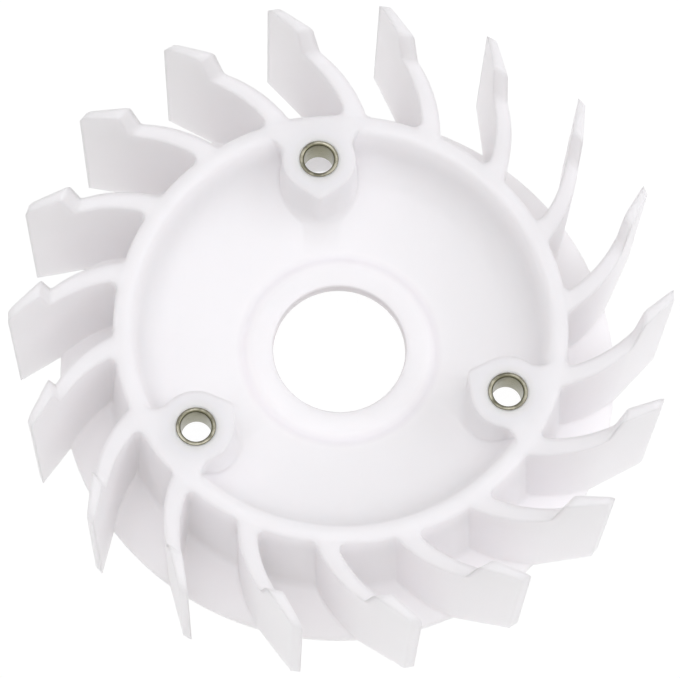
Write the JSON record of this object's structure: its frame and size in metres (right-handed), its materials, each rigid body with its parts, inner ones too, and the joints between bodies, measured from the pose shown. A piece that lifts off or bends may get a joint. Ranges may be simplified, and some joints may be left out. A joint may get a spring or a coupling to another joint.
{
  "type": "cooling fan impeller",
  "caption": "White moulded radial fan impeller with curved notched blades on a dished hub, and metal sleeves round its centre hole.",
  "frame": {"origin": "on the axis of rotation, in the plane of the flange's back face", "axes": "+Z along the axis of rotation, towards the dished side; +Y towards the first sleeve"},
  "size_m": [0.1496, 0.1496, 0.0475],
  "materials": {
    "moulding": "natural white nylon as moulded, slightly translucent, satin",
    "sleeve": "yellow zinc-plated steel, dulled"
  },
  "bodies": {
    "root": {"impeller": "moulding", "sleeve_1": "sleeve", "sleeve_2": "sleeve", "sleeve_3": "sleeve"}
  },
  "joints": []
}
